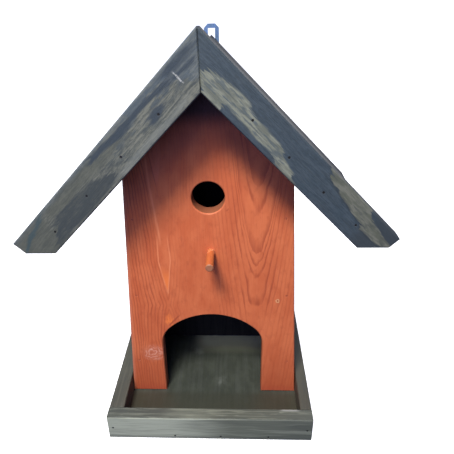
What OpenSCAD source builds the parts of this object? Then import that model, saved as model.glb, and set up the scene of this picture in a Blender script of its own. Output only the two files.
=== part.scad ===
// Gabled birdhouse over a feeding tray, nailed together from softwood boards.
// Millimetres, +Z up, +Y towards the back. The origin is the centre of the tray's underside.

/* [Boards] */
// Thickness of the wall, roof, trim and rim boards
board_t = 16; // [14:0.5:18]
// Thickness of the tray's floor board
floor_t = 7; // [6:0.5:10]
// Leg of the small chamfer that eases the outer edges of a board
ease = 0.9; // [0.4:0.1:1.4]

/* [Tray] */
// Thickness of the right-hand rim, which is a thinner board than the others
right_rim_t = 12; // [10:0.5:18]
// Outer depth of the tray, front to back
tray_d = 220; // [216:1:240]
// Height of the four rims
rim_h = 30; // [24:1:40]

/* [House] */
// Width of the house at its foot, which is also the tray's width between its side rims
house_w = 190; // [180:1:200]
// Distance from the tray's front edge to the front panel's face
porch_d = 68; // [60:1:74]
// Depth of the house, over the front and the back panel
house_d = 122; // [116:1:126]
// Inward lean of each side wall, in degrees
wall_lean = 3.3; // [2:0.1:4]
// Height of the nest floor's underside above the tray's floor
nest_floor_z = 114; // [112:1:124]

/* [Openings] */
// Radius of the entrance hole
entrance_r = 16; // [14:0.5:18]
// Height of the entrance hole's centre above the tray's floor
entrance_z = 242.5; // [225:0.5:250]
// Width of the arched feeding doorway
arch_w = 111; // [100:1:116]
// Height of the doorway at its crown
arch_h = 108.5; // [102:0.5:111]
// Rise of the crown above the doorway's straight sides
arch_rise = 40; // [38:1:44]
// Radius of the tight curves at the doorway's shoulders
arch_shoulder_r = 30; // [24:1:34]

/* [Perch] */
// Radius of the perch peg
perch_r = 4; // [3:0.5:5]
// Length of the peg in front of the front panel
perch_reach = 33; // [25:1:40]
// Height of the peg's axis above the tray's floor
perch_z = 185; // [170:1:195]
// Distance of the peg to the right of the centre line
perch_x = 1.2; // [0:0.2:3]

/* [Roof] */
// Height above the tray's underside at which the left trim board's outer edge would cross
// the centre line
peak_z = 400.8; // [398:0.2:404]
// Length of the left trim board along its outer edge
left_trim_len = 247; // [232:1:250]
// Length of the right trim board along its outer edge
right_trim_len = 240; // [232:1:250]
// Width of the left trim board across its face
left_trim_w = 33.5; // [32:0.5:38]
// Width of the right trim board, whose inner edge meets the left board's at the centre line
right_trim_w = 31.2; // [30:0.1:33]
// Height of the left trim board above the roof's top face, square to the slope
trim_lift = 18; // [14:0.5:20]
// Length of the square cut at the foot of a trim board
trim_foot = 14; // [12:0.5:16]
// Overhang of the roof in front of the front panel, without the trim boards
front_overhang = 33; // [26:1:36]

/* [Hanger] */
// Width of the hanger plate
hanger_w = 16; // [14:0.5:20]
// Thickness of the hanger plate
hanger_t = 1.5; // [1:0.5:2]
// Height of the hanger plate above the roof's ridge
hanger_rise = 10.5; // [10:0.5:13]
// Width of the strip of metal round the hanging slot
hanger_strip = 4.2; // [3.5:0.1:4.5]

/* [Hidden] */
$fn = 64;

slack = 1;
peak_wear = 1.2;
root2 = sqrt(2);

// House: faces, and the line of the leaning side walls
front_y = -tray_d / 2 + porch_d;
inner_front_y = front_y + board_t;
back_y = front_y + house_d;
inner_back_y = back_y - board_t;
house_half_w = house_w / 2;
tray_left_x = -house_half_w - board_t;
tray_right_x = house_half_w + right_rim_t;
lean = tan(wall_lean);
nest_bottom = floor_t + nest_floor_z;
nest_top = nest_bottom + board_t;

// Roof: both slopes fall at 45 degrees, so the panels meet in a right angle. The trim boards'
// outer edges cross a little left of the centre line, because the right board is narrower
trim_drop = left_trim_w - right_trim_w;
mitre_x = trim_drop / root2;
trim_top_z = peak_z - mitre_x - peak_wear;
roof_top_n = trim_lift;
roof_under_n = trim_lift + board_t;
ridge_z = peak_z - roof_top_n * root2;
gable_z = peak_z - roof_under_n * root2;
roof_front_y = front_y - front_overhang;
roof_back_y = tray_d / 2;

// Doorway: a flat crown arc between two tighter shoulder arcs
arch_spring_z = floor_t + arch_h - arch_rise;
shoulder_x = arch_w / 2 - arch_shoulder_r;
crown_gap = arch_rise - arch_shoulder_r;
crown_drop = (shoulder_x * shoulder_x - crown_gap * crown_gap) / (2 * crown_gap);
crown_r = arch_rise + crown_drop;
crown_edge_angle = atan2(crown_drop, shoulder_x);

// Fasteners: shank radius, head radius and head height
brad = [0.8, 1.1, 0.8];
nail = [1.1, 2, 1];
wood_screw = [1.6, 3.2, 2.4];
plate_screw = [1.5, 3, 1.8];
trim_nail_len = 40;
trim_nail_n = 20.5;
left_trim_nail_s = [68, 115, 162, 209];
right_trim_nail_s = [76, 118, 160, 202];
wall_nail_len = 38;
wall_nail_z = [52, 140, 228];
roof_nail_len = 36;
roof_nail_s = [70, 120];
ridge_nail_y = [-50, 17, 84];
rim_nail_len = 34;
rim_nail_inset = 5.5;
floor_nail_len = 30;
floor_nail_z = 4.5;
floor_nail_x = [-39, 10, 61];
floor_nail_y = [-60, 0, 60];
house_screw_len = 32;
nest_nail_len = 34;
hanger_screw_len = 20;

// Hanger plate: its slot and its screws
hanger_top = ridge_z + hanger_rise;
slot_bottom = ridge_z - hanger_w / 4;
hanger_bottom = ridge_z - board_t * root2 - 2;
hanger_screw_z = [slot_bottom - 5.5, hanger_bottom + 6];

// Point on the right-hand roof slope: s runs down the slope from the level of peak_z and
// n runs inwards, square to the slope. Mirrored, n starts at the left trim's outer edge
function slope_point(s, n) = [(s - n) / root2, peak_z - (s + n) / root2];

// Half width of the house at height z, less an inset from the outer face
function wall_x(z, inset) = house_half_w - inset - lean * (z - floor_t);

// Height at which a wall line with that inset meets the roof's underside
function wall_top(inset) = (gable_z - house_half_w + inset - lean * floor_t) / (1 - lean);

function wall_corner(inset) = [gable_z - wall_top(inset), wall_top(inset)];

// Plate with the outline given in [x, z], from y0 to y1
module plate(outline, y0, y1) {
    translate([0, y1, 0])
        rotate([90, 0, 0])
            linear_extrude(y1 - y0)
                polygon(outline);
}

// Plate whose outline is moved outwards by grow, or inwards where grow is negative
module grown_plate(outline, y0, y1, grow) {
    translate([0, y1, 0])
        rotate([90, 0, 0])
            linear_extrude(y1 - y0)
                offset(delta = grow)
                    polygon(outline);
}

// Plate with its front and back edges eased
module eased_plate(outline, y0, y1) {
    hull() {
        grown_plate(outline, y0, y1, -ease);
        plate(outline, y0 + ease, y1 - ease);
    }
}

// Cutter that eases the front edge of an opening with this outline in the face at y
module eased_mouth(outline, y) {
    hull() {
        grown_plate(outline, y - slack - ease, y - slack, ease + slack);
        grown_plate(outline, y + ease + slack, y + 2 * ease + slack, -slack);
    }
}

// Fastener along +Z, with the outer face of its flat head at the origin
module nail_shape(size, length) {
    cylinder(h = size[2], r = size[1]);
    cylinder(h = length, r = size[0]);
}

// Countersunk screw along +Z, with its head flush with the origin
module screw_shape(size, length) {
    cylinder(h = size[2], r1 = size[1], r2 = size[0]);
    cylinder(h = length, r = size[0]);
}

module mirrored_pair() {
    children();
    mirror([1, 0, 0]) children();
}

// Nails through the right-hand trim board at these distances down the slope
module slope_nails(distances) {
    for (s = distances) {
        place = slope_point(s, trim_nail_n);
        translate([place[0], roof_front_y - board_t, place[1]])
            rotate([-90, 0, 0])
                nail_shape(brad, trim_nail_len);
    }
}

module bargeboard_nails() {
    color("dimgray") {
        slope_nails(right_trim_nail_s);
        mirror([1, 0, 0]) slope_nails(left_trim_nail_s);
    }
}

module front_panel_nails() {
    color("sienna")
        mirrored_pair()
            for (z = wall_nail_z)
                translate([wall_x(z, board_t / 2), front_y, z])
                    rotate([-90, 0, 0])
                        nail_shape(brad, wall_nail_len);
}

module back_panel_screws() {
    color("silver")
        mirrored_pair()
            for (z = wall_nail_z)
                translate([wall_x(z, board_t / 2), back_y, z])
                    rotate([90, 0, 0])
                        screw_shape(wood_screw, wall_nail_len);
}

module roof_nails() {
    color("dimgray")
        mirrored_pair()
            for (s = roof_nail_s, y = [front_y + board_t / 2, back_y - board_t / 2]) {
                place = slope_point(s, roof_top_n);
                translate([place[0], y, place[1]])
                    rotate([0, 225, 0])
                        nail_shape(nail, roof_nail_len);
            }
}

module ridge_nails() {
    color("dimgray")
        for (y = ridge_nail_y) {
            place = slope_point(roof_top_n + board_t / 2, roof_top_n);
            translate([-place[0], y, place[1]])
                rotate([0, 135, 0])
                    nail_shape(nail, roof_nail_len);
        }
}

module rim_corner_nails() {
    color("dimgray")
        for (x = [tray_left_x + rim_nail_inset, tray_right_x - rim_nail_inset], end = [1, -1])
            translate([x, -end * tray_d / 2, rim_h / 2])
                rotate([-90 * end, 0, 0])
                    nail_shape(brad, rim_nail_len);
}

module floor_nails() {
    color("dimgray") {
        for (x = floor_nail_x, end = [1, -1])
            translate([x, -end * tray_d / 2, floor_nail_z])
                rotate([-90 * end, 0, 0])
                    nail_shape(brad, floor_nail_len);
        for (y = floor_nail_y) {
            translate([tray_left_x, y, floor_nail_z])
                rotate([0, 90, 0])
                    nail_shape(brad, floor_nail_len);
            translate([tray_right_x, y, floor_nail_z])
                rotate([0, -90, 0])
                    nail_shape(brad, floor_nail_len);
        }
    }
}

module house_screws() {
    color("silver")
        mirrored_pair()
            for (y = [inner_front_y + board_t, inner_back_y - board_t])
                translate([house_half_w - board_t / 2, y, 0])
                    screw_shape(wood_screw, house_screw_len);
}

module nest_floor_nails() {
    color("dimgray")
        mirrored_pair()
            for (y = [inner_front_y + board_t, inner_back_y - board_t])
                translate([wall_x(nest_bottom + board_t / 2, 0), y, nest_bottom + board_t / 2])
                    rotate([0, -90, 0])
                        nail_shape(brad, nest_nail_len);
}

module hanger_screws() {
    color("silver")
        for (z = hanger_screw_z)
            translate([0, roof_back_y + hanger_t + plate_screw[2], z])
                rotate([90, 0, 0])
                    nail_shape(plate_screw, hanger_screw_len);
}

// Outline of the front and the back panel
module gable_panel(y0, y1) {
    corner = wall_corner(0);
    eased_plate([[-house_half_w, floor_t], [house_half_w, floor_t], corner, [0, gable_z],
        [-corner[0], corner[1]]], y0, y1);
}

// Points of an arc in the [x, z] plane, from angle a0 to a1, about 3 degrees apart
function arc(centre, r, a0, a1) = let (steps = ceil(abs(a1 - a0) / 3))
    [for (i = [0:steps]) let (a = a0 + (a1 - a0) * i / steps)
        centre + r * [cos(a), sin(a)]];

// Outline of the doorway, from its right foot up over the crown to its left foot
function doorway_outline() = concat(
    [[arch_w / 2, 0]],
    arc([shoulder_x, arch_spring_z], arch_shoulder_r, 0, crown_edge_angle),
    arc([0, arch_spring_z - crown_drop], crown_r, crown_edge_angle, 180 - crown_edge_angle),
    arc([-shoulder_x, arch_spring_z], arch_shoulder_r, 180 - crown_edge_angle, 180),
    [[-arch_w / 2, 0]]);

module front_panel() {
    color("chocolate")
        difference() {
            gable_panel(front_y, inner_front_y);
            plate(doorway_outline(), front_y - slack, inner_front_y + slack);
            eased_mouth(doorway_outline(), front_y);
            translate([0, inner_front_y + slack, floor_t + entrance_z])
                rotate([90, 0, 0])
                    cylinder(h = board_t + 2 * slack, r = entrance_r);
            translate([0, front_y + ease, floor_t + entrance_z])
                rotate([90, 0, 0])
                    cylinder(h = ease, r1 = entrance_r, r2 = entrance_r + ease);
            translate([perch_x, inner_front_y + slack, floor_t + perch_z])
                rotate([90, 0, 0])
                    cylinder(h = board_t + 2 * slack, r = perch_r);
            front_panel_nails();
            roof_nails();
        }
}

module back_panel() {
    color("darkslategray")
        difference() {
            gable_panel(inner_back_y, back_y);
            back_panel_screws();
            roof_nails();
        }
}

module side_panel() {
    difference() {
        plate([[house_half_w - board_t, floor_t], [house_half_w, floor_t], wall_corner(0),
            wall_corner(board_t)], inner_front_y, inner_back_y);
        front_panel_nails();
        back_panel_screws();
        house_screws();
        nest_floor_nails();
    }
}

module right_side_panel() {
    color("darkslategray") side_panel();
}

module left_side_panel() {
    color("darkslategray") mirror([1, 0, 0]) side_panel();
}

module nest_floor() {
    low = wall_x(nest_bottom, board_t);
    high = wall_x(nest_top, board_t);
    color("burlywood")
        difference() {
            plate([[-low, nest_bottom], [low, nest_bottom], [high, nest_top], [-high, nest_top]],
                inner_front_y, inner_back_y);
            nest_floor_nails();
        }
}

module tray_floor() {
    color("dimgray")
        difference() {
            translate([-house_half_w, board_t - tray_d / 2, 0])
                cube([2 * house_half_w, tray_d - 2 * board_t, floor_t]);
            floor_nails();
            house_screws();
        }
}

// Front or back rim, which covers the ends of the side rims
module end_rim(y0) {
    color("slategray")
        difference() {
            eased_plate([[tray_left_x, 0], [tray_right_x, 0], [tray_right_x, rim_h],
                [tray_left_x, rim_h]], y0, y0 + board_t);
            rim_corner_nails();
            floor_nails();
        }
}

module tray_front_rim() {
    end_rim(-tray_d / 2);
}

module tray_back_rim() {
    end_rim(tray_d / 2 - board_t);
}

// Side rim between x0 and x1, fitted between the two end rims, with its top edges eased
module side_rim(x0, x1) {
    color("slategray")
        difference() {
            plate([[x0, 0], [x1, 0], [x1, rim_h - ease], [x1 - ease, rim_h],
                [x0 + ease, rim_h], [x0, rim_h - ease]],
                board_t - tray_d / 2, tray_d / 2 - board_t);
            rim_corner_nails();
            floor_nails();
        }
}

module tray_right_rim() {
    side_rim(house_half_w, tray_right_x);
}

module tray_left_rim() {
    side_rim(tray_left_x, -house_half_w);
}

// Right-hand roof panel that starts at distance s0 down the slope. Its foot is cut level
// with the foot of a trim board of the given length
module roof_panel(s0, trim_len) {
    foot_s = trim_len + trim_foot;
    eased_plate([slope_point(s0, roof_top_n), slope_point(foot_s - roof_top_n, roof_top_n),
        slope_point(foot_s - roof_under_n, roof_under_n), slope_point(s0, roof_under_n)],
        roof_front_y, roof_back_y);
}

// The left panel runs up to the ridge and covers the end of the right one
module left_roof_panel() {
    color("darkslategray")
        difference() {
            mirror([1, 0, 0]) roof_panel(roof_top_n, left_trim_len);
            bargeboard_nails();
            roof_nails();
            ridge_nails();
            hanger_screws();
        }
}

module right_roof_panel() {
    color("darkslategray")
        difference() {
            roof_panel(roof_under_n, right_trim_len);
            bargeboard_nails();
            roof_nails();
            ridge_nails();
            hanger_screws();
        }
}

// Trim board on the right-hand slope, from outer_n inwards. Its mitre runs from the inner
// corner to mitre_end, where the sharp top corner is worn flat
module bargeboard(trim_len, outer_n, mitre_end) {
    foot_s = trim_len + trim_foot;
    eased_plate([[mitre_end, trim_top_z], [mitre_end + peak_wear, trim_top_z],
        slope_point(trim_len, outer_n), slope_point(trim_len, trim_foot),
        slope_point(foot_s - left_trim_w, left_trim_w), slope_point(left_trim_w, left_trim_w)],
        roof_front_y - board_t, roof_front_y);
}

module right_bargeboard() {
    color("slategray")
        difference() {
            bargeboard(right_trim_len, trim_drop, -mitre_x);
            bargeboard_nails();
        }
}

module left_bargeboard() {
    color("lightslategray")
        difference() {
            mirror([1, 0, 0]) bargeboard(left_trim_len, 0, mitre_x);
            bargeboard_nails();
        }
}

module perch() {
    color("chocolate")
        translate([perch_x, inner_front_y, floor_t + perch_z])
            rotate([90, 0, 0]) {
                cylinder(h = board_t + perch_reach - ease, r = perch_r);
                translate([0, 0, board_t + perch_reach - ease])
                    cylinder(h = ease, r1 = perch_r, r2 = perch_r - ease);
            }
}

module hanger_plate() {
    half = hanger_w / 2;
    cut = hanger_w / 4;
    slot_half = half - hanger_strip;
    color("lightsteelblue")
        difference() {
            plate([[-half, hanger_bottom + cut], [cut - half, hanger_bottom],
                [half - cut, hanger_bottom], [half, hanger_bottom + cut],
                [half, hanger_top - cut], [half - cut, hanger_top],
                [cut - half, hanger_top], [-half, hanger_top - cut]],
                roof_back_y, roof_back_y + hanger_t);
            plate([[-slot_half, slot_bottom], [slot_half, slot_bottom],
                [slot_half, hanger_top - hanger_strip], [-slot_half, hanger_top - hanger_strip]],
                roof_back_y - slack, roof_back_y + hanger_t + slack);
            hanger_screws();
        }
}

front_panel();
back_panel();
left_side_panel();
right_side_panel();
nest_floor();
tray_floor();
tray_front_rim();
tray_back_rim();
tray_left_rim();
tray_right_rim();
left_roof_panel();
right_roof_panel();
left_bargeboard();
right_bargeboard();
perch();
hanger_plate();
hanger_screws();
bargeboard_nails();
front_panel_nails();
back_panel_screws();
roof_nails();
ridge_nails();
rim_corner_nails();
floor_nails();
house_screws();
nest_floor_nails();
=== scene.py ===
import math

import bpy
from mathutils import Matrix, Vector


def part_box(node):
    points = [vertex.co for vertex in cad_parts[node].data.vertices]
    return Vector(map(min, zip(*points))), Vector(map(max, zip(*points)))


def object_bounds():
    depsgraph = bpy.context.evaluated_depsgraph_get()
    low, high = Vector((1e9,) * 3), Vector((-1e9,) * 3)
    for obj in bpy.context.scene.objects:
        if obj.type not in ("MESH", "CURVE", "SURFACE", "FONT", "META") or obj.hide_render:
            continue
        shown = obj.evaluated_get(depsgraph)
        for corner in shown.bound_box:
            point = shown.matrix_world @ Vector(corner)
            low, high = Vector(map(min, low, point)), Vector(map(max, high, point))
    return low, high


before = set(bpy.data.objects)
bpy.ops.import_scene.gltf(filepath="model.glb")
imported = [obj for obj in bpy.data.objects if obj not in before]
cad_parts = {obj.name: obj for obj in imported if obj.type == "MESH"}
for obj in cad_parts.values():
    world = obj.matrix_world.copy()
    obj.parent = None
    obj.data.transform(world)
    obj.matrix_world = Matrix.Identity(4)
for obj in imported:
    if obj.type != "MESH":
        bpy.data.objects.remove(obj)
cad_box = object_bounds()

# Lengths are in metres, but a board's own coordinates and the marks on it are in millimetres.
MM = 0.001
ARRIS = 0.8 * MM
MIDDLE = (cad_box[0] + cad_box[1]) / 2

# Directions: to the right, to the back and up, and down the two slopes of the roof
X, Y, Z = (1, 0, 0), (0, 1, 0), (0, 0, 1)
SQUARE = math.sqrt(0.5)
LEFT_SLOPE, RIGHT_SLOPE = (-SQUARE, 0, -SQUARE), (SQUARE, 0, -SQUARE)


class Graph:
    """The node tree of one material, with short calls for the nodes that the finishes share."""

    def __init__(self, name):
        self.material = bpy.data.materials.new(name)
        self.material.use_nodes = True
        self.tree = self.material.node_tree
        self.tree.nodes.clear()

    def put(self, socket, value):
        """Links a socket to an input, or sets a plain value on it."""
        if isinstance(value, bpy.types.NodeSocket):
            self.tree.links.new(value, socket)
        else:
            socket.default_value = value

    def math(self, operation, *values):
        node = self.tree.nodes.new("ShaderNodeMath")
        node.operation = operation
        for socket, value in zip(node.inputs, values):
            self.put(socket, value)
        return node.outputs[0]

    def add(self, *values):
        total = values[0]
        for value in values[1:]:
            total = self.math("ADD", total, value)
        return total

    def scale(self, *values):
        product = values[0]
        for value in values[1:]:
            product = self.math("MULTIPLY", product, value)
        return product

    def subtract(self, value, other):
        return self.math("SUBTRACT", value, other)

    def vector(self, operation, *values):
        node = self.tree.nodes.new("ShaderNodeVectorMath")
        node.operation = operation
        for socket, value in zip(node.inputs, values):
            self.put(socket, value)
        return node.outputs["Value" if operation in ("DOT_PRODUCT", "LENGTH") else "Vector"]

    def point(self, x, y, z):
        node = self.tree.nodes.new("ShaderNodeCombineXYZ")
        for socket, value in zip(node.inputs, (x, y, z)):
            self.put(socket, value)
        return node.outputs[0]

    def rise(self, value, low, high):
        """0 below low and 1 above high, with a smooth step between them."""
        node = self.tree.nodes.new("ShaderNodeMapRange")
        node.interpolation_type = "SMOOTHSTEP"
        for name, number in (("Value", value), ("From Min", low), ("From Max", high)):
            self.put(node.inputs[name], number)
        return node.outputs[0]

    def fall(self, value, low, high):
        """1 below low and 0 above high, with a smooth step between them."""
        return self.outside(self.rise(value, low, high))

    def outside(self, mask):
        """1 where the mask is 0, and 0 where it is 1."""
        return self.subtract(1.0, mask)

    def either(self, mask, *others):
        """The largest of some masks."""
        for other in others:
            mask = self.math("MAXIMUM", mask, other)
        return mask

    def path(self, value, *corners):
        """Height over value of a line through these corners, level beyond its ends."""
        height = corners[0][1]
        for (start, low), (end, high) in zip(corners, corners[1:]):
            passed = self.math("MAXIMUM", self.add(value, -start), 0.0)
            passed = self.math("MINIMUM", passed, end - start)
            height = self.add(self.scale(passed, (high - low) / (end - start)), height)
        return height

    def noise(self, vector, detail, roughness):
        """Noise about 0.5, one cell to a unit of the vector."""
        node = self.tree.nodes.new("ShaderNodeTexNoise")
        self.put(node.inputs["Vector"], vector)
        for name, number in (("Scale", 1.0), ("Detail", detail), ("Roughness", roughness)):
            node.inputs[name].default_value = number
        return node.outputs["Fac"]

    def blend(self, factor, first, second, mode="MIX"):
        node = self.tree.nodes.new("ShaderNodeMix")
        node.data_type = "RGBA"
        node.blend_type = mode
        for index, value in ((0, factor), (6, first), (7, second)):
            self.put(node.inputs[index], value)
        return node.outputs[2]

    def lay(self, colour, tone, amount, *masks):
        """The colour with a tone laid over it by that amount, only where all the masks are 1."""
        return self.blend(self.scale(amount, *masks), colour, tone)

    def edge(self, radius):
        """1 on arrises of about that radius and 0 on flat faces, and the rounded normal."""
        bevel = self.tree.nodes.new("ShaderNodeBevel")
        bevel.samples = 4
        bevel.inputs["Radius"].default_value = radius
        plain = self.tree.nodes.new("ShaderNodeNewGeometry").outputs["Normal"]
        along = self.vector("DOT_PRODUCT", bevel.outputs[0], plain)
        return self.fall(along, 0.80, 0.985), bevel.outputs[0]

    def surface(self, colour, roughness, height=None, relief=0.0, normal=None,
                metallic=0.0, specular=0.5):
        """Ends the tree with one Principled shader and, where a height is given, its bump."""
        shader = self.tree.nodes.new("ShaderNodeBsdfPrincipled")
        self.put(shader.inputs["Base Color"], colour)
        self.put(shader.inputs["Roughness"], roughness)
        shader.inputs["Metallic"].default_value = metallic
        shader.inputs["Specular IOR Level"].default_value = specular
        if height is not None:
            bump = self.tree.nodes.new("ShaderNodeBump")
            bump.inputs["Distance"].default_value = relief
            self.put(bump.inputs["Height"], height)
            if normal is not None:
                self.put(bump.inputs["Normal"], normal)
            normal = bump.outputs[0]
        if normal is not None:
            self.put(shader.inputs["Normal"], normal)
        output = self.tree.nodes.new("ShaderNodeOutputMaterial")
        self.tree.links.new(shader.outputs[0], output.inputs["Surface"])
        return self.material


class Board:
    """Coordinates on one board in millimetres, and the figure of its wood.

    u runs along the grain, v across the face and w through the thickness."""

    def __init__(self, graph, u, v, w):
        self.graph = graph
        self.u, self.v, self.w = u, v, w
        self.place = graph.point(u, v, w)

    def grain(self, along, across, detail=2.0, roughness=0.5, shift=0.0):
        """Noise stretched along the grain, with cells of these sizes."""
        g = self.graph
        moved = g.vector("ADD", self.place, (shift, shift, shift))
        stretched = g.vector("MULTIPLY", moved, (1 / along, 1 / across, 1 / across))
        return g.noise(stretched, detail, roughness)

    def drift(self, reach, along, across, detail=2.0, shift=0.0):
        """The same noise about 0, seldom going past the reach either way."""
        centred = self.graph.add(self.grain(along, across, detail, shift=shift), -0.5)
        return self.graph.scale(centred, 2.0 * reach)

    def path(self, *corners):
        """v on a line through these corners, each (u, v), level beyond its ends."""
        return self.graph.path(self.u, *corners)

    def between(self, upper, lower, soft=1.0):
        """1 where v lies between two paths, and 0 elsewhere."""
        g = self.graph
        past_upper = g.rise(g.subtract(self.v, self.path(*upper)), -soft, soft)
        short_of_lower = g.fall(g.subtract(self.v, self.path(*lower)), -soft, soft)
        return g.scale(past_upper, short_of_lower)

    def streak(self, corners, half_width, soft=2.0, fade=8.0):
        """1 on a streak of stain along a path, from its first to its last corner."""
        g = self.graph
        away = g.math("ABSOLUTE", g.subtract(self.v, self.path(*corners)))
        inside = g.fall(away, half_width - soft, half_width + soft)
        begun = g.rise(self.u, corners[0][0] - fade, corners[0][0] + fade)
        ended = g.fall(self.u, corners[-1][0] - fade, corners[-1][0] + fade)
        return g.scale(inside, begun, ended)

    def away(self, centre, stretch=1.0):
        """Distance from the centre, (u, v), with u divided by stretch."""
        g = self.graph
        du = g.scale(g.add(self.u, -centre[0]), 1 / stretch)
        dv = g.add(self.v, -centre[1])
        return length(g, du, dv)

    def warped(self, along, across, reach_u, reach_v, shift=0.0):
        """The same board with its coordinates moved about by stretched noise."""
        g = self.graph
        return Board(g, g.add(self.u, self.drift(reach_u, along, across, shift=shift)),
                     g.add(self.v, self.drift(reach_v, along, across, shift=shift + 77)), self.w)


def lay_out(g, origin, along, across):
    """The board whose origin and directions these are, in the object's own space."""
    through = Vector(along).cross(Vector(across))
    source = g.tree.nodes.new("ShaderNodeTexCoord").outputs["Object"]
    local = g.vector("SUBTRACT", source, tuple(origin))
    return Board(g, *(g.vector("DOT_PRODUCT", local, tuple(Vector(axis) / MM))
                      for axis in (along, across, through)))


def length(g, du, dv):
    """Length of a line with these two sides."""
    return g.math("SQRT", g.add(g.scale(du, du), g.scale(dv, dv)))


def rings(g, distance, spacing):
    """Annual rings from the distance to the pith: 0 in pale early wood, 1 on a dark late line."""
    phase = g.math("FRACT", g.add(g.scale(distance, 1 / spacing), 0.86))
    return g.scale(g.rise(phase, 0.48, 0.86), g.fall(phase, 0.89, 1.0))


def assign(material, *nodes):
    """Gives CAD nodes' objects one material in all their slots."""
    for node in nodes:
        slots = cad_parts[node].data.materials
        slots.clear()
        slots.append(material)


# Front panel --------------------------------------------------------------------------------
# u is the height above the tray's underside, and v runs from the middle to the right. Places on
# a board are (u, v). All colours are linear.

TERRACOTTA = (0.490, 0.108, 0.036, 1)
TERRACOTTA_DARK = (0.30, 0.056, 0.022, 1)
TERRACOTTA_PAINTED_SHADE = (0.18, 0.040, 0.022, 1)
TERRACOTTA_PAINTED_CONTACT_SHADOW = (0.016, 0.006, 0.005, 1)
TERRACOTTA_RED = (0.34, 0.05, 0.03, 1)
TERRACOTTA_PALE = (0.58, 0.150, 0.054, 1)
TERRACOTTA_PINK = (0.58, 0.21, 0.12, 1)
TERRACOTTA_ROSE = (0.62, 0.165, 0.075, 1)
TERRACOTTA_ORANGE = (0.76, 0.195, 0.045, 1)
RESIN = (0.72, 0.24, 0.105, 1)
KNOT_SWIRL = (0.66, 0.31, 0.22, 1)
KNOT_RING = (0.66, 0.36, 0.17, 1)
BORE_STAIN = (0.25, 0.095, 0.050, 1)
PERCH_ORANGE = (0.52, 0.150, 0.040, 1)
PERCH_PAINTED_HIGHLIGHT = (0.85, 0.36, 0.18, 1)
PERCH_END = (0.27, 0.120, 0.065, 1)

STAVE_JOINT_V = -1.0
RIGHT_PITH_V = 47.5
RIGHT_ARCH_WIDTH = 25.0
LOWEST_ARCH_WIDTH_CUBED = 600.0
LEFT_PITH_V = -45.5
LEFT_RING = 3.0
KNOT = (63.0, -67.0)
SMALL_KNOT = (134.0, 70.0)
ORANGE_PATCH = (108.0, -45.0)
ENTRANCE_CHIP = (237.0, 18.0)
ENTRANCE = (249.5, 0.0)
ENTRANCE_RADIUS = 16.0
SIDE_LEAN = 0.058
FRONT_ARRIS = 0.9 * MM


def right_figure(g, board, flowing):
    """Ring number on the right-hand stave, whose nested arches point down."""
    rough = board.drift(7.0, 16.0, 7.0, detail=3.0, shift=5)
    offset = g.add(flowing.v, -RIGHT_PITH_V)
    across = g.scale(offset, 1 / RIGHT_ARCH_WIDTH)
    bend = g.math("SQRT", g.add(1.0, g.scale(across, across)))
    climb = g.scale(g.add(bend, -1.0), 0.5 * RIGHT_ARCH_WIDTH ** 2)
    # The lowest arch is blunt
    flat = g.scale(offset, offset, offset, offset, 1 / LOWEST_ARCH_WIDTH_CUBED)
    blunt = g.math("MINIMUM", climb, flat)
    lowest = g.fall(board.u, 142.0, 160.0)
    climb = g.add(g.scale(climb, g.outside(lowest)), g.scale(blunt, lowest))
    tip_height = g.subtract(g.add(board.u, rough), climb)
    # The arches crowd together above the perch's height and spread out towards the roof
    return g.path(tip_height, (-610.0, 24.0), (131.0, 5.0), (163.0, 4.0),
                  (178.0, 3.0), (189.0, 2.0), (240.0, 1.0), (262.0, 0.0), (320.0, -1.0))


def left_figure(g, board, flowing):
    """Ring distance on the left-hand stave: sharp tips over the doorway and under the roof."""
    depth = board.path((60.0, 1.0), (117.0, 7.0), (128.0, 9.5), (141.0, 7.0), (182.0, 1.3),
                       (207.0, 2.5), (261.0, -1.2), (292.0, -5.5))
    rough = board.drift(1.2, 30.0, 6.0, detail=3.0, shift=25)
    leaning = g.add(flowing.v, g.scale(g.add(board.u, -140.0), 0.014), -LEFT_PITH_V)
    away = length(g, leaning, 0.8)
    near = g.add(1.0, g.scale(g.rise(away, 3.0, 32.0), -0.7))
    return g.add(away, g.scale(depth, near), rough)


def part_round_knots(g, board, flowing):
    """The flowing coordinates with the grain parted round both knots."""
    big = g.scale(g.fall(board.away(KNOT, 1.5), 2.0, 16.0), 0.75, g.add(flowing.v, -KNOT[1]))
    small = g.scale(g.fall(board.away(SMALL_KNOT, 2.0), 0.5, 7.0), 0.8,
                    g.add(flowing.v, -SMALL_KNOT[1]))
    return Board(g, flowing.u, g.subtract(flowing.v, g.add(big, small)), flowing.w)


def ring_clarity(g, board):
    """How clearly the rings show: least up the middle, most in the arches and on the left."""
    plain = g.scale(g.rise(board.v, -38.0, -26.0), g.fall(board.v, -4.0, 12.0),
                    g.fall(board.u, 225.0, 262.0))
    arches = g.scale(g.rise(board.v, 14.0, 30.0), g.fall(board.v, 62.0, 76.0),
                     g.rise(board.u, 112.0, 132.0))
    worn = g.rise(board.grain(60.0, 6.0, detail=3.0, shift=40), 0.34, 0.60)
    left_side = g.fall(board.v, -52.0, -44.0)
    return g.scale(g.add(1.0, g.scale(plain, -0.9)), g.add(0.35, g.scale(worn, 0.65)),
                   g.add(0.40, g.scale(arches, 0.60), g.scale(left_side, 0.60)))


def front_rings(g, board, flowing, left):
    """The dark late-wood lines of both staves."""
    right = right_figure(g, board, flowing)
    is_right = g.math("GREATER_THAN", board.v, STAVE_JOINT_V)
    eye = g.scale(g.rise(left, -0.2, 0.6), g.fall(left, 6.6, 7.2))
    left_line = g.scale(rings(g, left, LEFT_RING), g.add(1.0, g.scale(eye, -0.9)))
    return g.add(g.scale(rings(g, right, 1.0), is_right),
                 g.scale(left_line, g.outside(is_right)))


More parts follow.
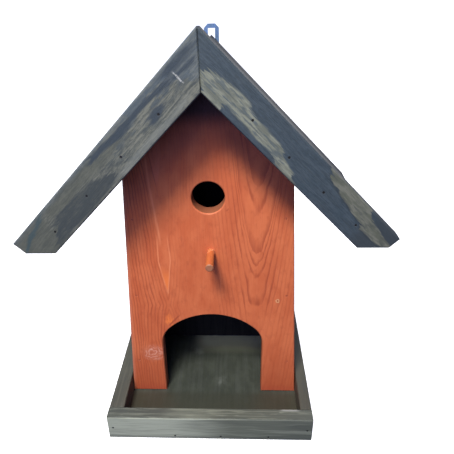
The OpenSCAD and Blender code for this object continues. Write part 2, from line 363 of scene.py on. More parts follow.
def front_stain(g, board, line, fibre):
    """Uneven terracotta stain, darker in the late wood and along some of the fibres."""
    mottle = board.grain(38.0, 16.0, detail=3.0, roughness=0.6, shift=90)
    blotch = board.grain(9.0, 6.0, detail=3.0, roughness=0.6, shift=150)
    paler = g.add(g.rise(mottle, 0.30, 0.72), g.scale(g.rise(board.v, -10.0, 40.0), 0.25))
    colour = g.blend(paler, TERRACOTTA, TERRACOTTA_PALE)
    colour = g.lay(colour, TERRACOTTA_DARK, 0.26, g.rise(blotch, 0.50, 0.72))
    colour = g.lay(colour, TERRACOTTA_DARK, 0.70, line, ring_clarity(g, board))
    colour = g.lay(colour, TERRACOTTA_DARK, 0.20, g.rise(fibre, 0.54, 0.75))
    return g.lay(colour, TERRACOTTA_PINK, 0.14, g.fall(fibre, 0.28, 0.45))


def front_eyes(g, board, flowing, left, fibre, colour):
    """Pale resin round the left-hand eyes, their orange tips and the rosy one under the roof."""
    eyes = g.fall(board.v, -37.0, -33.0)
    heart = g.scale(g.rise(left, 6.4, 7.1), g.fall(left, 7.4, 8.1), eyes,
                    g.rise(board.u, 136.0, 144.0), g.fall(board.u, 200.0, 214.0))
    upper = flowing.streak(((205.0, -49.0), (260.0, -54.5), (320.0, -58.0)), 0.9, 0.9, 10.0)
    colour = g.lay(colour, RESIN, 0.75, g.either(heart, upper), g.rise(fibre, 0.28, 0.52))
    tip = g.scale(g.fall(left, 6.6, 7.4), eyes, g.rise(board.u, 138.0, 146.0),
                  g.fall(board.u, 156.0, 178.0))
    broken = g.rise(board.grain(5.0, 2.0, shift=70), 0.42, 0.56)
    patch = g.scale(g.fall(board.warped(9.0, 5.0, 8.0, 7.0).away(ORANGE_PATCH, 1.9), 1.0, 5.5),
                    g.add(0.55, g.scale(broken, 0.45)))
    colour = g.lay(colour, TERRACOTTA_ORANGE, 0.85, g.either(g.scale(tip, 0.9), patch))
    crack = flowing.streak(((101.0, -46.0), (115.0, -35.0)), 1.0, 0.8, 2.0)
    colour = g.lay(colour, TERRACOTTA_DARK, 0.75, crack)
    tongue = g.scale(g.fall(left, -0.8, 0.2), eyes, g.rise(board.u, 258.0, 272.0))
    return g.lay(colour, TERRACOTTA_ROSE, 0.60, tongue)


def front_knots(g, board, colour):
    """The big knot is a pale swirl and the small one a pale ring round a dark speck."""
    loose = board.warped(8.0, 8.0, 7.0, 7.0, shift=12)
    swirl = g.math("ABSOLUTE", g.add(g.math("FRACT", g.scale(loose.away(KNOT, 0.7), 0.2)), -0.5))
    broken = g.rise(board.grain(7.0, 7.0, shift=33), 0.38, 0.56)
    haze = g.fall(board.away(KNOT, 0.85), 4.0, 17.0)
    colour = g.lay(colour, TERRACOTTA_PINK, 0.55, haze)
    colour = g.lay(colour, KNOT_SWIRL, 0.9, haze, broken, g.rise(swirl, 0.20, 0.42))
    colour = g.lay(colour, TERRACOTTA_DARK, 0.45, haze, g.fall(swirl, 0.04, 0.16))
    away = board.warped(4.0, 4.0, 2.0, 2.0, shift=60).away(SMALL_KNOT)
    colour = g.lay(colour, KNOT_RING, 0.75, g.rise(away, 0.7, 1.5), g.fall(away, 1.9, 2.8))
    return g.lay(colour, TERRACOTTA_DARK, 0.8, g.fall(away, 0.5, 1.4))


def front_wear(g, board, colour):
    """A chip by the entrance, painted shade at the peak, darker and redder feet, and a pale left
    edge.
    """
    chip = g.fall(board.warped(3.0, 3.0, 3.0, 3.0).away(ENTRANCE_CHIP), 0.8, 2.2)
    colour = g.lay(colour, TERRACOTTA_DARK, 0.55, chip)
    # Painted shade under the roof's overhang, and a black painted contact shadow right at the
    # peak
    colour = g.lay(colour, TERRACOTTA_PAINTED_SHADE, 0.35, g.rise(board.u, 280.0, 312.0))
    colour = g.lay(colour, TERRACOTTA_PAINTED_CONTACT_SHADOW, 0.90, g.rise(board.u, 312.0, 331.0))
    colour = g.lay(colour, TERRACOTTA_DARK, 0.50, g.fall(board.u, 10.0, 90.0))
    colour = g.lay(colour, TERRACOTTA_RED, 0.35, g.fall(board.u, 10.0, 20.0))
    from_left_edge = g.add(board.v, g.scale(board.u, -SIDE_LEAN))
    return g.lay(colour, TERRACOTTA_PINK, 0.45, g.fall(from_left_edge, -95.2, -91.0))


def front_panel_material():
    """Terracotta stain over two glued staves, each with an arched figure and a knot."""
    g = Graph("terracotta_front")
    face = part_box("front_panel")[0].y
    board = lay_out(g, (0, face, 0), Z, X)
    flowing = part_round_knots(g, board, board.warped(80.0, 30.0, 0.0, 1.8))
    left = left_figure(g, board, flowing)
    line = front_rings(g, board, flowing, left)
    fibre = board.grain(45.0, 0.7, detail=3.0)
    colour = front_stain(g, board, line, fibre)
    colour = front_eyes(g, board, flowing, left, fibre, colour)
    colour = front_knots(g, board, colour)
    colour = front_wear(g, board, colour)
    in_bore = g.fall(board.away(ENTRANCE), ENTRANCE_RADIUS + 0.2, ENTRANCE_RADIUS + 0.6)
    behind_face = g.rise(g.math("ABSOLUTE", board.w), 0.9, 1.4)
    colour = g.lay(colour, BORE_STAIN, 0.80, in_bore, behind_face)
    arris, rounded = g.edge(FRONT_ARRIS)
    # Pink arrises: worn edges and a painted highlight
    colour = g.lay(colour, TERRACOTTA_PINK, 0.8, arris)
    height = g.add(g.scale(line, -0.35), g.scale(fibre, 0.8))
    roughness = g.add(0.50, g.scale(fibre, 0.16), g.scale(line, -0.06))
    return g.surface(colour, roughness, height, 0.22 * MM, rounded, specular=0.4)


def perch_material():
    """The same stain on a dowel, thinner on its end grain, with a painted highlight by the panel.
    """
    g = Graph("terracotta_perch")
    low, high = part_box("perch")
    tip = ((low.x + high.x) / 2, low.y, (low.z + high.z) / 2)
    board = lay_out(g, tip, Y, X)
    fibre = board.grain(14.0, 0.6, detail=3.0)
    # Painted highlight: pale blobs on the dowel next to the panel
    painted_highlight_blobs = g.rise(board.grain(4.0, 3.0, shift=7), 0.44, 0.54)
    colour = g.blend(g.rise(fibre, 0.35, 0.7), PERCH_ORANGE, TERRACOTTA)
    colour = g.lay(colour, PERCH_PAINTED_HIGHLIGHT, 0.8, g.rise(board.u, 24.0, 29.0), painted_highlight_blobs)
    colour = g.lay(colour, PERCH_END, 0.85, g.fall(board.u, 0.5, 1.1))
    roughness = g.add(0.46, g.scale(fibre, 0.14))
    return g.surface(colour, roughness, fibre, 0.15 * MM, specular=0.4)


def front_nail_material():
    """Brad heads under the terracotta stain."""
    g = Graph("terracotta_nail_heads")
    board = lay_out(g, (0, 0, 0), Z, X)
    grime = board.grain(2.0, 1.2, detail=3.0)
    colour = g.blend(g.rise(grime, 0.35, 0.65), TERRACOTTA_DARK, TERRACOTTA)
    return g.surface(colour, g.add(0.40, g.scale(grime, 0.2)), grime, 0.15 * MM)


# Trim boards --------------------------------------------------------------------------------
# u runs down the slope from the peak and v from the board's top edge to its lower one.

SLATE_WEAR_AND_HIGHLIGHT = (0.158, 0.170, 0.162, 1)
SLATE_BLUE = (0.032, 0.045, 0.056, 1)
SLATE_DARK = (0.036, 0.045, 0.046, 1)
SLATE_TIP = (0.032, 0.040, 0.043, 1)
SLATE_TEAL = (0.038, 0.064, 0.070, 1)
SLATE_OUTLINE = (0.021, 0.029, 0.034, 1)
SLATE_SEAM = (0.010, 0.012, 0.014, 1)
EDGE_STAIN = (0.023, 0.029, 0.035, 1)
CHALK = (0.40, 0.41, 0.39, 1)

# Pale, middle and dark tone of each board where no mark covers it
LEFT_TONES = (0.150, 0.156, 0.124, 1), (0.084, 0.090, 0.072, 1), (0.040, 0.049, 0.048, 1)
LEFT_COOL = (0.060, 0.080, 0.092, 1)
LEFT_WASH = (0.074, 0.103, 0.128, 1)
LEFT_BROWN = (0.071, 0.078, 0.062, 1)
LEFT_FOOT = (0.163, 0.175, 0.154, 1)
RIGHT_TONES = (0.048, 0.067, 0.080, 1), (0.037, 0.055, 0.067, 1), (0.027, 0.039, 0.048, 1)
BARE_PALE = (0.195, 0.208, 0.160, 1)
BARE_GREY = (0.120, 0.132, 0.104, 1)
BARE_FLECK = (0.067, 0.087, 0.092, 1)
BROWN_PALE = (0.135, 0.140, 0.110, 1)
BROWN = (0.086, 0.094, 0.070, 1)
BROWN_FLECK = (0.060, 0.068, 0.058, 1)


def trim_board(g, side):
    """Coordinates down a trim board from the peak: side is 1 on the right and -1 on the left."""
    low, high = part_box("left_bargeboard")
    above_worn_top = 2.83 * MM
    peak = (0, low.y, high.z + above_worn_top)
    along, across = (RIGHT_SLOPE, LEFT_SLOPE) if side > 0 else (LEFT_SLOPE, RIGHT_SLOPE)
    return lay_out(g, peak, along, across)


def seam_distance(g, board, side):
    """Distance to the joint between the two trim boards."""
    node = "right_bargeboard" if side > 0 else "left_bargeboard"
    joint_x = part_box(node)[0 if side > 0 else 1].x / MM
    return g.add(g.scale(g.subtract(board.u, board.v), SQUARE), -side * joint_x)


def slate_base(g, board, tones, shift):
    """Weathered wood in three tones with long streaks, and the noises that later marks share."""
    light, middle, dark = tones
    loose = board.warped(60.0, 14.0, 0.0, 3.0, shift=shift)
    fibre = board.grain(30.0, 0.7, detail=4.0, roughness=0.65, shift=shift)
    streaks = loose.grain(42.0, 2.0, detail=4.0, roughness=0.6, shift=shift + 5)
    clouds = loose.grain(19.0, 4.5, detail=4.0, roughness=0.65, shift=shift + 9)
    flecks = loose.grain(13.0, 1.8, detail=3.0, roughness=0.6, shift=shift + 19)
    speckle = board.grain(4.5, 1.2, detail=3.0, roughness=0.7, shift=shift + 41)
    colour = g.blend(g.rise(clouds, 0.42, 0.57), middle, light)
    colour = g.lay(colour, dark, 0.45, g.rise(streaks, 0.48, 0.60))
    colour = g.lay(colour, light, 0.40, g.fall(flecks, 0.38, 0.46))
    colour = g.lay(colour, dark, 0.45, g.rise(flecks, 0.54, 0.62))
    colour = g.lay(colour, dark, 0.48, g.rise(speckle, 0.50, 0.62))
    colour = g.lay(colour, light, 0.42, g.fall(speckle, 0.38, 0.50))
    colour = g.lay(colour, SLATE_DARK, 0.40, g.rise(fibre, 0.50, 0.64))
    return colour, fibre, flecks, clouds


def slate_finish(g, board, colour, fibre, flecks, seam):
    """Dark stain on the board's edges and at its joint, and pale arrises of wear and painted
    highlight.
    """
    colour = g.lay(colour, SLATE_SEAM, 0.90, g.fall(seam, 0.4, 1.15))
    on_face = g.fall(g.math("ABSOLUTE", board.w), 1.2, 2.4)
    colour = g.lay(colour, EDGE_STAIN, 0.75, g.outside(on_face))
    arris, rounded = g.edge(ARRIS)
    # Pale arrises: weathered wood and a painted highlight
    colour = g.lay(colour, SLATE_WEAR_AND_HIGHLIGHT, 0.30, arris)
    height = g.add(g.scale(fibre, 0.7), g.scale(flecks, 0.6))
    roughness = g.add(0.52, g.scale(fibre, 0.2))
    return g.surface(colour, roughness, height, 0.30 * MM, rounded, specular=0.35)


def left_washes(g, board, loose, clouds, colour):
    """Thin blue stain towards the peak, and bare brown wood lower down and at the end."""
    cool = g.scale(g.fall(clouds, 0.42, 0.52), g.fall(board.u, 110.0, 150.0))
    on_top = g.add(0.35, g.scale(g.fall(board.v, 12.0, 20.0), 0.65))
    colour = g.lay(colour, LEFT_COOL, 0.60, cool, on_top)
    wash = loose.between(((2.0, -6.0), (145.0, -6.0)),
                         ((2.0, 34.0), (30.0, 24.0), (52.0, 5.0), (145.0, 3.5)), 4.0)
    colour = g.lay(colour, LEFT_WASH, 0.42, wash)
    brown = g.either(loose.streak(((100.0, 9.0), (205.0, 8.0)), 5.0, 3.0, 16.0),
                     loose.streak(((206.0, 18.0), (250.0, 18.0)), 16.0, 4.0))
    return g.lay(colour, LEFT_BROWN, 0.70, brown)


def left_marks(g, loose, clouds, colour):
    """Blue streaks, a blue spot at a nail, a dark pool, a pale lower edge and a teal streak."""
    blue = (
        loose.streak(((14.0, 6.0), (46.0, 6.0)), 3.0, 2.5, 6.0),
        loose.streak(((18.0, 14.0), (44.0, 11.0)), 2.0, 1.6, 6.0),
        loose.streak(((44.0, 10.5), (68.0, 7.0), (102.0, 7.5), (140.0, 3.5)), 2.5, 1.0, 4.0),
        g.fall(loose.away((68.0, 19.0), 2.4), 2.5, 6.0),
    )
    for mask in blue:
        colour = g.lay(colour, SLATE_BLUE, 0.92, mask)
    pool = loose.between(((124.0, 31.0), (132.0, 21.0), (150.0, 14.5), (196.0, 12.5),
                          (224.0, 33.0)),
                         ((124.0, 29.0), (160.0, 32.0), (230.0, 32.0)), 1.8)
    depth = g.add(0.62, g.scale(g.rise(clouds, 0.40, 0.56), 0.30))
    colour = g.lay(colour, SLATE_DARK, depth, pool)
    foot = loose.streak(((44.0, 28.5), (90.0, 30.0), (128.0, 31.0)), 2.4, 1.8, 8.0)
    colour = g.lay(colour, LEFT_FOOT, 0.55, foot)
    teal = loose.streak(((204.0, 3.0), (222.0, 6.0), (246.0, 13.5)), 1.9, 1.0, 4.0)
    return g.lay(colour, SLATE_TEAL, 0.80, teal)


def left_trim_material():
    """Grey board: blue streaks along its top, a dark pool of stain low down, a brown end."""
    g = Graph("slate_left_trim")
    board = trim_board(g, -1)
    loose = board.warped(26.0, 6.0, 10.0, 3.0).warped(12.0, 1.5, 8.0, 1.2, shift=50)
    colour, fibre, flecks, clouds = slate_base(g, board, LEFT_TONES, 11)
    colour = left_washes(g, board, loose, clouds, colour)
    colour = left_marks(g, loose, clouds, colour)
    shaky = board.warped(5.0, 5.0, 1.2, 0.0)
    scratch = shaky.between(((36.6, 40.0), (36.8, 8.0), (37.8, 8.0), (38.0, 40.0)),
                            ((36.0, 19.0), (39.0, 19.0)))
    colour = g.lay(colour, CHALK, 0.75, scratch, g.rise(fibre, 0.35, 0.55))
    return slate_finish(g, board, colour, fibre, flecks, seam_distance(g, board, -1))


def right_bare_patch(g, loose, fibre, flecks, clouds, colour):
    """A patch of bare grey wood near the peak, with flecks of blue left in it."""
    patch = loose.between(((24.0, 22.0), (33.0, 13.5), (62.0, 12.5), (78.0, 17.5),
                           (108.0, 18.5), (142.0, 34.0)),
                          ((24.0, 25.0), (34.0, 36.0), (50.0, 36.0), (55.0, 27.0),
                           (106.0, 28.0), (114.0, 36.0)))
    wood = g.blend(g.rise(clouds, 0.40, 0.60), BARE_PALE, BARE_GREY)
    wood = g.lay(wood, BARE_FLECK, 0.75, g.rise(flecks, 0.50, 0.60))
    wood = g.lay(wood, SLATE_DARK, 0.40, g.rise(fibre, 0.50, 0.64))
    return g.blend(patch, colour, wood)


def right_brown_patch(g, loose, flecks, clouds, colour):
    """A dark-rimmed brown patch towards the foot, and darker stain round it at the tip."""
    upper = ((150.0, 0.0), (203.0, 1.0), (208.0, 9.0), (242.0, 13.0))
    lower = ((148.0, 1.0), (156.0, 9.0), (172.0, 12.5), (204.0, 17.0), (208.0, 21.0),
             (228.0, 20.0), (244.0, 13.0))
    rim_width = 1.3
    rim = loose.between(upper, tuple((u, v + rim_width) for u, v in lower), 0.5)
    colour = g.lay(colour, SLATE_OUTLINE, 0.6, rim)
    patch = loose.between(upper, lower, 0.5)
    wood = g.blend(g.rise(clouds, 0.40, 0.60), BROWN_PALE, BROWN)
    wood = g.lay(wood, BROWN_FLECK, 0.7, g.rise(flecks, 0.50, 0.62))
    colour = g.blend(patch, colour, wood)
    return g.lay(colour, SLATE_TIP, 0.7, g.rise(loose.u, 200.0, 216.0), g.outside(patch))


def right_trim_material():
    """Blue slate board: a bare grey patch near the peak and a brown one towards the foot."""
    g = Graph("slate_right_trim")
    board = trim_board(g, 1)
    loose = board.warped(22.0, 6.0, 8.0, 2.0, shift=30).warped(11.0, 1.4, 9.0, 1.2, shift=80)
    colour, fibre, flecks, clouds = slate_base(g, board, RIGHT_TONES, 23)
    colour = right_bare_patch(g, loose, fibre, flecks, clouds, colour)
    colour = right_brown_patch(g, loose, flecks, clouds, colour)
    return slate_finish(g, board, colour, fibre, flecks, seam_distance(g, board, 1))


# Tray ---------------------------------------------------------------------------------------

TRAY_GREY = (0.115, 0.127, 0.095, 1)
TRAY_PALE = (0.325, 0.352, 0.270, 1)
TRAY_BRIGHT = (0.37, 0.400, 0.310, 1)
TRAY_DARK = (0.045, 0.052, 0.048, 1)
TRAY_TOP = (0.060, 0.067, 0.058, 1)
LEFT_RIM_GREY = (0.100, 0.100, 0.078, 1)
RIGHT_RIM_GREY = (0.072, 0.070, 0.052, 1)
FLOOR_GREY = (0.052, 0.060, 0.047, 1)
FLOOR_DEEP = (0.035, 0.041, 0.032, 1)
FLOOR_FIBRE = (0.030, 0.035, 0.032, 1)
FLOOR_STREAK = (0.080, 0.088, 0.080, 1)
FLOOR_SCUFF = (0.17, 0.185, 0.17, 1)
FLOOR_PAINTED_LIGHT = (0.42, 0.44, 0.30, 1)
FLOOR_FRONT = (0.036, 0.039, 0.028, 1)
FLOOR_PAINTED_REFLECTION = (0.035, 0.032, 0.020, 1)
FLOOR_PAINTED_SHADE_BY_RIM = (0.016, 0.017, 0.013, 1)
RIM_CHIP_U = 195.0
SCUFFS = ((32.0, -22.0), 9.0), ((47.0, -3.0), 8.0), ((-27.0, 8.0), 9.0)


def tray_grain(board, shift):
    """Fine fibre and wavy bands of grain on a rim."""
    loose = board.warped(60.0, 12.0, 0.0, 7.0, shift=shift)
    fibre = board.grain(34.0, 0.7, detail=4.0, roughness=0.6, shift=shift)
    wave = loose.grain(150.0, 2.4, detail=3.0, roughness=0.55, shift=shift + 8)
    return fibre, wave


def tray_finish(g, colour, fibre, wave, pale):
    """Dark and pale grain over the stain, and pale arrises of wear and painted highlight."""
    colour = g.lay(colour, TRAY_DARK, 0.36, g.rise(wave, 0.51, 0.66))
    colour = g.lay(colour, pale, 0.24, g.fall(wave, 0.34, 0.47))
    colour = g.lay(colour, TRAY_DARK, 0.40, g.rise(fibre, 0.50, 0.70))
    arris, rounded = g.edge(ARRIS)
    # Pale arrises: wear and a painted highlight
    colour = g.lay(colour, pale, 0.30, arris)
    height = g.add(g.scale(fibre, 0.7), g.scale(wave, 0.4))
    roughness = g.add(0.54, g.scale(fibre, 0.2))
    return g.surface(colour, roughness, height, 0.25 * MM, rounded, specular=0.35)


def rim_material(name, along, shift, tone):
    """Weathered grey-green stain with wavy pale grain."""
    g = Graph(name)
    board = lay_out(g, (0, 0, 0), along, Z)
    fibre, wave = tray_grain(board, shift)
    broad = board.grain(110.0, 24.0, shift=shift + 31)
    deeper = tuple(0.72 * part for part in tone[:3]) + (1,)
    paler = tuple(1.45 * part for part in tone[:3]) + (1,)
    colour = g.blend(g.rise(broad, 0.3, 0.7), deeper, tone)
    return tray_finish(g, colour, fibre, wave, paler)


def front_rim_material():
    """The front rim fades from pale blue-grey on the left to darker green-grey on the right."""
    g = Graph("tray_front_rim")
    low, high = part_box("tray_front_rim")
    top, thickness = (high.z - low.z) / MM, (high.y - low.y) / MM
    board = lay_out(g, low, X, Z)
    fibre, wave = tray_grain(board, 3)
    placed = g.add(board.u, board.drift(18.0, 40.0, 12.0))
    colour = g.blend(g.rise(placed, 62.0, 140.0), TRAY_PALE, TRAY_GREY)
    colour = g.lay(colour, TRAY_DARK, 0.35, g.rise(placed, 150.0, 210.0))
    on_top = g.fall(g.math("ABSOLUTE", g.add(board.v, -top)), 0.3, 0.6)
    darker = g.add(0.60, g.scale(g.fall(placed, 60.0, 90.0), 0.36))
    colour = g.lay(colour, TRAY_TOP, darker, on_top)
    colour = g.lay(colour, TRAY_DARK, 0.45, g.fall(board.v, 1.5, 6.5))
    chip = board.warped(8.0, 3.0, 5.0, 2.0).away((RIM_CHIP_U, top), 6.0)
    at_back = g.fall(g.math("ABSOLUTE", g.add(board.w, thickness - 1.4)), 1.0, 2.4)
    colour = g.lay(colour, CHALK, 0.6, g.fall(chip, 0.8, 2.2), at_back)
    return tray_finish(g, colour, fibre, wave, TRAY_BRIGHT)


def tray_floor_material():
    """Dark grey-green with scuffs, painted light at the back and a painted reflection of the
    feet.
    """
    g = Graph("tray_floor")
    board = lay_out(g, (0, 0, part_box("tray_floor")[1].z), Y, X)
    fibre = board.grain(40.0, 0.8, detail=3.0)
    streaks = board.grain(120.0, 5.0, shift=9)
    mottle = board.grain(26.0, 14.0, detail=4.0, roughness=0.65, shift=21)
    colour = g.blend(g.rise(mottle, 0.35, 0.7), FLOOR_DEEP, FLOOR_GREY)
    colour = g.lay(colour, FLOOR_STREAK, 0.25, g.rise(streaks, 0.45, 0.65))
    colour = g.lay(colour, FLOOR_FIBRE, 0.35, g.rise(fibre, 0.5, 0.75))
    for centre, size in SCUFFS:
        away = board.warped(9.0, 7.0, 9.0, 12.0, shift=centre[0]).away(centre, 1.2)
        colour = g.lay(colour, FLOOR_SCUFF, 0.40, g.fall(away, 1.0, size),
                       g.rise(streaks, 0.3, 0.6))
    # Painted light: a pale pool on the back of the floor where light comes in through the doorway
    colour = g.lay(colour, FLOOR_PAINTED_LIGHT, 0.90, g.rise(board.u, 22.0, 58.0),
                   g.rise(board.v, -36.0, -10.0))
    # Painted reflection of the terracotta feet, browner beside them; the strip in front of the
    # house is darker
    painted_reflection_by_feet = g.rise(g.math("ABSOLUTE", board.v), 34.0, 62.0)
    front = g.blend(painted_reflection_by_feet, FLOOR_FRONT, FLOOR_PAINTED_REFLECTION)
    colour = g.lay(colour, front, 0.70, g.fall(board.u, -52.0, -40.0))
    # Painted shade along the front rim
    colour = g.lay(colour, FLOOR_PAINTED_SHADE_BY_RIM, 0.30, g.fall(board.u, -95.0, -84.0))
    height = g.add(g.scale(fibre, 0.8), g.scale(streaks, 0.4))
    return g.surface(colour, g.add(0.50, g.scale(fibre, 0.2)), height, 0.25 * MM, specular=0.40)


# Dark boards, bare wood and metal -----------------------------------------------------------

ANTHRACITE = (0.010, 0.013, 0.018, 1)
ANTHRACITE_FIBRE = (0.006, 0.008, 0.011, 1)
ANTHRACITE_PALE = (0.023, 0.029, 0.035, 1)
ANTHRACITE_WEAR_AND_HIGHLIGHT = (0.07, 0.08, 0.085, 1)
ANTHRACITE_FADED = (0.030, 0.036, 0.043, 1)
ANTHRACITE_BLEACHED = (0.068, 0.076, 0.084, 1)
INDOOR_SHADE_TINT = (0.60, 0.46, 0.30, 1)
FADED_DEPTH = 12.0
BARE_WOOD = (0.50, 0.34, 0.19, 1)
BARE_WOOD_DARK = (0.30, 0.17, 0.08, 1)
NAIL_STEEL = (0.05, 0.05, 0.05, 1)
NAIL_DULL = (0.02, 0.018, 0.016, 1)
SCREW_ZINC = (0.62, 0.60, 0.55, 1)
SCREW_DULL = (0.30, 0.29, 0.27, 1)
HANGER_ZINC = (0.20, 0.32, 0.47, 1)
HANGER_DULL = (0.12, 0.19, 0.28, 1)


def anthracite_material(name, along, across, shift, out_face=None):
    """Near-black stain with a faint grain. A house wall has faded from its outer face inwards,
    with painted shade inside.
    """
    g = Graph(name)
    board = lay_out(g, (0, 0, 0), along, across)
    fibre = board.grain(36.0, 0.8, detail=3.0, shift=shift)
    streaks = board.warped(70.0, 12.0, 0.0, 7.0, shift=shift).grain(150.0, 3.2, shift=shift + 4)
    dark_fibre = g.rise(fibre, 0.5, 0.8)
    colour = g.blend(g.rise(streaks, 0.35, 0.7), ANTHRACITE, ANTHRACITE_PALE)
    colour = g.lay(colour, ANTHRACITE_FIBRE, 0.5, dark_fibre)
    if out_face is not None:
        # The inside of the wall is darkened and warmed: painted shade inside the house
        indoor_shade = g.blend(1.0, colour, INDOOR_SHADE_TINT, mode="MULTIPLY")
        faded = g.blend(g.rise(streaks, 0.38, 0.64), ANTHRACITE_FADED, ANTHRACITE_BLEACHED)
        faded = g.lay(faded, ANTHRACITE, 0.5, dark_fibre)
        fading_ends = out_face - FADED_DEPTH
        outdoors = g.rise(board.w, fading_ends - 2.0, fading_ends)
        colour = g.blend(outdoors, indoor_shade, faded)
    arris, rounded = g.edge(ARRIS)
    # Paler arrises: wear and a painted highlight
    colour = g.lay(colour, ANTHRACITE_WEAR_AND_HIGHLIGHT, 0.4, arris)
    height = g.add(g.scale(fibre, 0.8), g.scale(streaks, 0.5))
    roughness = g.add(0.55, g.scale(fibre, 0.2))
    return g.surface(colour, roughness, height, 0.25 * MM, rounded, specular=0.2)


def bare_wood_material():
    """Untreated softwood cut well above the pith, so that its rings run as long bands."""
    g = Graph("bare_nest_floor")
    board = lay_out(g, (0, 0, 0), X, Y)
    loose = board.warped(80.0, 30.0, 0.0, 8.0)
    away = length(g, g.add(loose.v, -12.0), g.add(board.w, 90.0))
    fibre = board.grain(40.0, 0.7, detail=3.0)
    colour = g.lay(BARE_WOOD, BARE_WOOD_DARK, 0.6, rings(g, away, 3.4))
    colour = g.lay(colour, BARE_WOOD_DARK, 0.3, g.rise(fibre, 0.5, 0.8))
    return g.surface(colour, 0.62, fibre, 0.2 * MM, specular=0.3)


def metal_material(name, colour, dull, roughness, grime):
    """Plated or plain steel with fine rub marks and some dull patches."""
    g = Graph(name)
    board = lay_out(g, (0, 0, 0), Z, X)
    rubs = board.grain(12.0, 0.5, detail=3.0)
    patches = board.grain(5.0, 4.0, detail=4.0, roughness=0.65, shift=14)
    tone = g.lay(colour, dull, grime, g.rise(patches, 0.4, 0.66))
    rough = g.add(roughness, g.scale(rubs, 0.22), g.scale(g.rise(patches, 0.4, 0.7), 0.15))
    return g.surface(tone, rough, rubs, 0.06 * MM, metallic=1.0)


# Camera, light and stage --------------------------------------------------------------------

# Angles are in radians, and the lens and its sensor in millimetres
CAMERA_FROM_MIDDLE = (0.029798, -0.4929, 0.229863)
CAMERA_YAW = 0.0603
CAMERA_PITCH = 0.5368
CAMERA_ROLL = 0.0304
CAMERA_LENS = 40.25
CAMERA_SHIFT = (0.0379, 0.1139)
SENSOR_WIDTH = 36

LIGHT_DISTANCE = 1.7
WARM_WHITE = (1.0, 0.96, 0.87)
PALE_WHITE = (1.0, 0.97, 0.92)
SOFT_BLUE = (0.42, 0.45, 1.0)
SKY_ABOVE = (0.16, 0.20, 0.40, 1)
SKY_BELOW = (0.05, 0.06, 0.12, 1)
SKY_FADE = (-0.5, 0.6)

# Radius of the stage's floor and height of its wall
STAGE_SIZE = 12.0
STAGE_DROP = 0.5 * MM
STAGE_STEPS = 96
STAGE_WHITE = (0.86, 0.86, 0.86, 1)
GLOW_FADE = (0.15, 0.90)


def make_camera():
    """A camera that looks down at the house from just right of its middle."""
    forward = Vector((-math.sin(CAMERA_YAW) * math.cos(CAMERA_PITCH),
                      math.cos(CAMERA_YAW) * math.cos(CAMERA_PITCH), -math.sin(CAMERA_PITCH)))
    level = Vector((math.cos(CAMERA_YAW), math.sin(CAMERA_YAW), 0))
    below = forward.cross(level)
    right = math.cos(CAMERA_ROLL) * level + math.sin(CAMERA_ROLL) * below
    down = -math.sin(CAMERA_ROLL) * level + math.cos(CAMERA_ROLL) * below
    turn = Matrix((right, -down, -forward)).transposed().to_4x4()
    data = bpy.data.cameras.new("camera")
    data.sensor_width = SENSOR_WIDTH
    data.lens = CAMERA_LENS
    data.shift_x, data.shift_y = CAMERA_SHIFT
    data.clip_start = 0.01
    camera = bpy.data.objects.new("camera", data)
    camera.matrix_world = Matrix.Translation(MIDDLE + Vector(CAMERA_FROM_MIDDLE)) @ turn
    bpy.context.scene.collection.objects.link(camera)
    bpy.context.scene.camera = camera


def make_area_light(name, come_from, size, power, colour):
    """A soft oval light that looks at the middle of the birdhouse from that direction."""
    data = bpy.data.lights.new(name, "AREA")
    data.shape = "ELLIPSE"
    data.size, data.size_y = size
    data.energy = power
    data.color = colour
    light = bpy.data.objects.new(name, data)
    toward = Vector(come_from).normalized()
    light.location = MIDDLE + toward * LIGHT_DISTANCE
    light.rotation_mode = "QUATERNION"
    light.rotation_quaternion = (-toward).to_track_quat("-Z", "Y")
    bpy.context.scene.collection.objects.link(light)


def make_lights():
    """A warm key from the upper left, two weaker lights from the front and one from behind."""
    make_area_light("key", (-15, -49, 67), (0.52, 0.34), 42.5, WARM_WHITE)
    make_area_light("front", (-4, -49, 44), (0.5, 0.4), 5.0, WARM_WHITE)
    make_area_light("soft", (-10, -49, 14), (1.0, 1.0), 7.5, SOFT_BLUE)
    make_area_light("behind", (40, 60, 28), (1.0, 1.0), 9.0, PALE_WHITE)


def make_sky():
    """A weak blue fill from all round, brighter from above."""
    world = bpy.data.worlds.new("fill")
    world.use_nodes = True
    nodes, links = world.node_tree.nodes, world.node_tree.links
    split = nodes.new("ShaderNodeSeparateXYZ")
    links.new(nodes.new("ShaderNodeTexCoord").outputs["Generated"], split.inputs[0])
    upward = nodes.new("ShaderNodeMapRange")
    upward.inputs["From Min"].default_value = SKY_FADE[0]
    upward.inputs["From Max"].default_value = SKY_FADE[1]
    links.new(split.outputs["Z"], upward.inputs["Value"])
    sky = nodes.new("ShaderNodeMix")
    sky.data_type = "RGBA"
    sky.inputs[6].default_value = SKY_BELOW
    sky.inputs[7].default_value = SKY_ABOVE
    links.new(upward.outputs[0], sky.inputs[0])
    links.new(sky.outputs[2], nodes["Background"].inputs["Color"])
    bpy.context.scene.world = world


def stage_material(name, near, far):
    """Pale and evenly lit; its own glow grows from near the house to far from it."""
    g = Graph(name)
    material = g.surface(STAGE_WHITE, 0.9, specular=0.0)
    shader = material.node_tree.nodes["Principled BSDF"]
    shader.inputs["Emission Color"].default_value = (1, 1, 1, 1)
    place = g.tree.nodes.new("ShaderNodeTexCoord").outputs["Object"]
    distant = g.rise(g.vector("LENGTH", place), *GLOW_FADE)
    g.put(shader.inputs["Emission Strength"], g.add(near, g.scale(distant, far - near)))
    return material


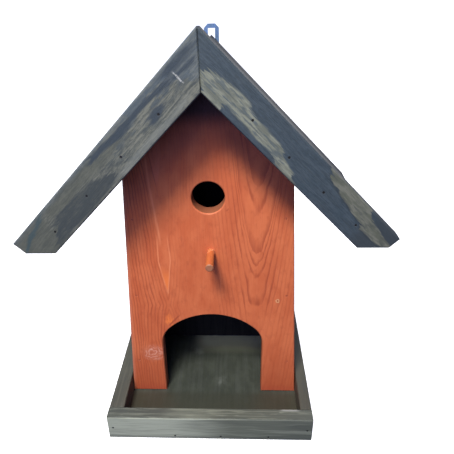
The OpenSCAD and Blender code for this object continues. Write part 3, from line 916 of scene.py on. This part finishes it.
def add_stage_piece(name, points, faces, material):
    """One part of the stage, seen by the camera alone."""
    mesh = bpy.data.meshes.new(name)
    mesh.from_pydata(points, [], faces)
    mesh.materials.append(material)
    thing = bpy.data.objects.new(name, mesh)
    bpy.context.scene.collection.objects.link(thing)
    for ray in ("diffuse", "glossy", "transmission", "shadow", "volume_scatter"):
        setattr(thing, "visible_" + ray, False)


def make_stage():
    """A pale round floor, just under the tray, inside a pale wall with a lid."""
    turns = [math.tau * i / STAGE_STEPS for i in range(STAGE_STEPS)]
    ring = [(STAGE_SIZE * math.cos(turn), STAGE_SIZE * math.sin(turn)) for turn in turns]
    bottom = [(x, y, -STAGE_DROP) for x, y in ring]
    top = [(x, y, STAGE_SIZE) for x, y in ring]
    sides = [(i, (i + 1) % STAGE_STEPS, STAGE_STEPS + (i + 1) % STAGE_STEPS, STAGE_STEPS + i)
             for i in range(STAGE_STEPS)]
    lid = tuple(range(STAGE_STEPS, 2 * STAGE_STEPS))
    add_stage_piece("floor", bottom, [tuple(range(STAGE_STEPS))],
                    stage_material("floor", 0.90, 1.0))
    add_stage_piece("backdrop", bottom + top, [*sides, lid],
                    stage_material("backdrop", 1.0, 1.05))


def set_view():
    """Plain colour, without a film curve."""
    view = bpy.context.scene.view_settings
    view.view_transform = "Standard"
    view.look = "None"
    view.exposure = 0.0
    view.gamma = 1.0


# Everything together ------------------------------------------------------------------------


def finish_front():
    assign(front_panel_material(), "front_panel")
    assign(perch_material(), "perch")
    assign(front_nail_material(), "front_panel_nails")
    assign(left_trim_material(), "left_bargeboard")
    assign(right_trim_material(), "right_bargeboard")


def finish_tray():
    assign(front_rim_material(), "tray_front_rim")
    assign(tray_floor_material(), "tray_floor")
    assign(rim_material("tray_back", X, 50, TRAY_GREY), "tray_back_rim")
    assign(rim_material("tray_left", Y, 120, LEFT_RIM_GREY), "tray_left_rim")
    assign(rim_material("tray_right", Y, 190, RIGHT_RIM_GREY), "tray_right_rim")


def finish_house():
    back_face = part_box("back_panel")[1].y / MM
    left_face = -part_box("left_side_panel")[0].x / MM
    right_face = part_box("right_side_panel")[1].x / MM
    # The two directions of each wall are in the order that makes w run outwards
    assign(anthracite_material("anthracite_back", Z, X, 0, back_face), "back_panel")
    assign(anthracite_material("anthracite_left", Z, Y, 60, left_face), "left_side_panel")
    assign(anthracite_material("anthracite_right", Z, (0, -1, 0), 95, right_face),
           "right_side_panel")
    assign(anthracite_material("anthracite_roof_left", LEFT_SLOPE, Y, 30), "left_roof_panel")
    assign(anthracite_material("anthracite_roof_right", RIGHT_SLOPE, Y, 130),
           "right_roof_panel")
    assign(bare_wood_material(), "nest_floor")


def finish_metal():
    assign(metal_material("dull_nails", NAIL_STEEL, NAIL_DULL, 0.5, 0.5),
           "bargeboard_nails", "roof_nails", "ridge_nails", "rim_corner_nails",
           "floor_nails", "nest_floor_nails")
    assign(metal_material("plated_screws", SCREW_ZINC, SCREW_DULL, 0.3, 0.5),
           "hanger_screws", "back_panel_screws", "house_screws")
    assign(metal_material("zinc_hanger", HANGER_ZINC, HANGER_DULL, 0.36, 0.5), "hanger_plate")


make_camera()
make_lights()
make_sky()
make_stage()
set_view()
finish_front()
finish_tray()
finish_house()
finish_metal()
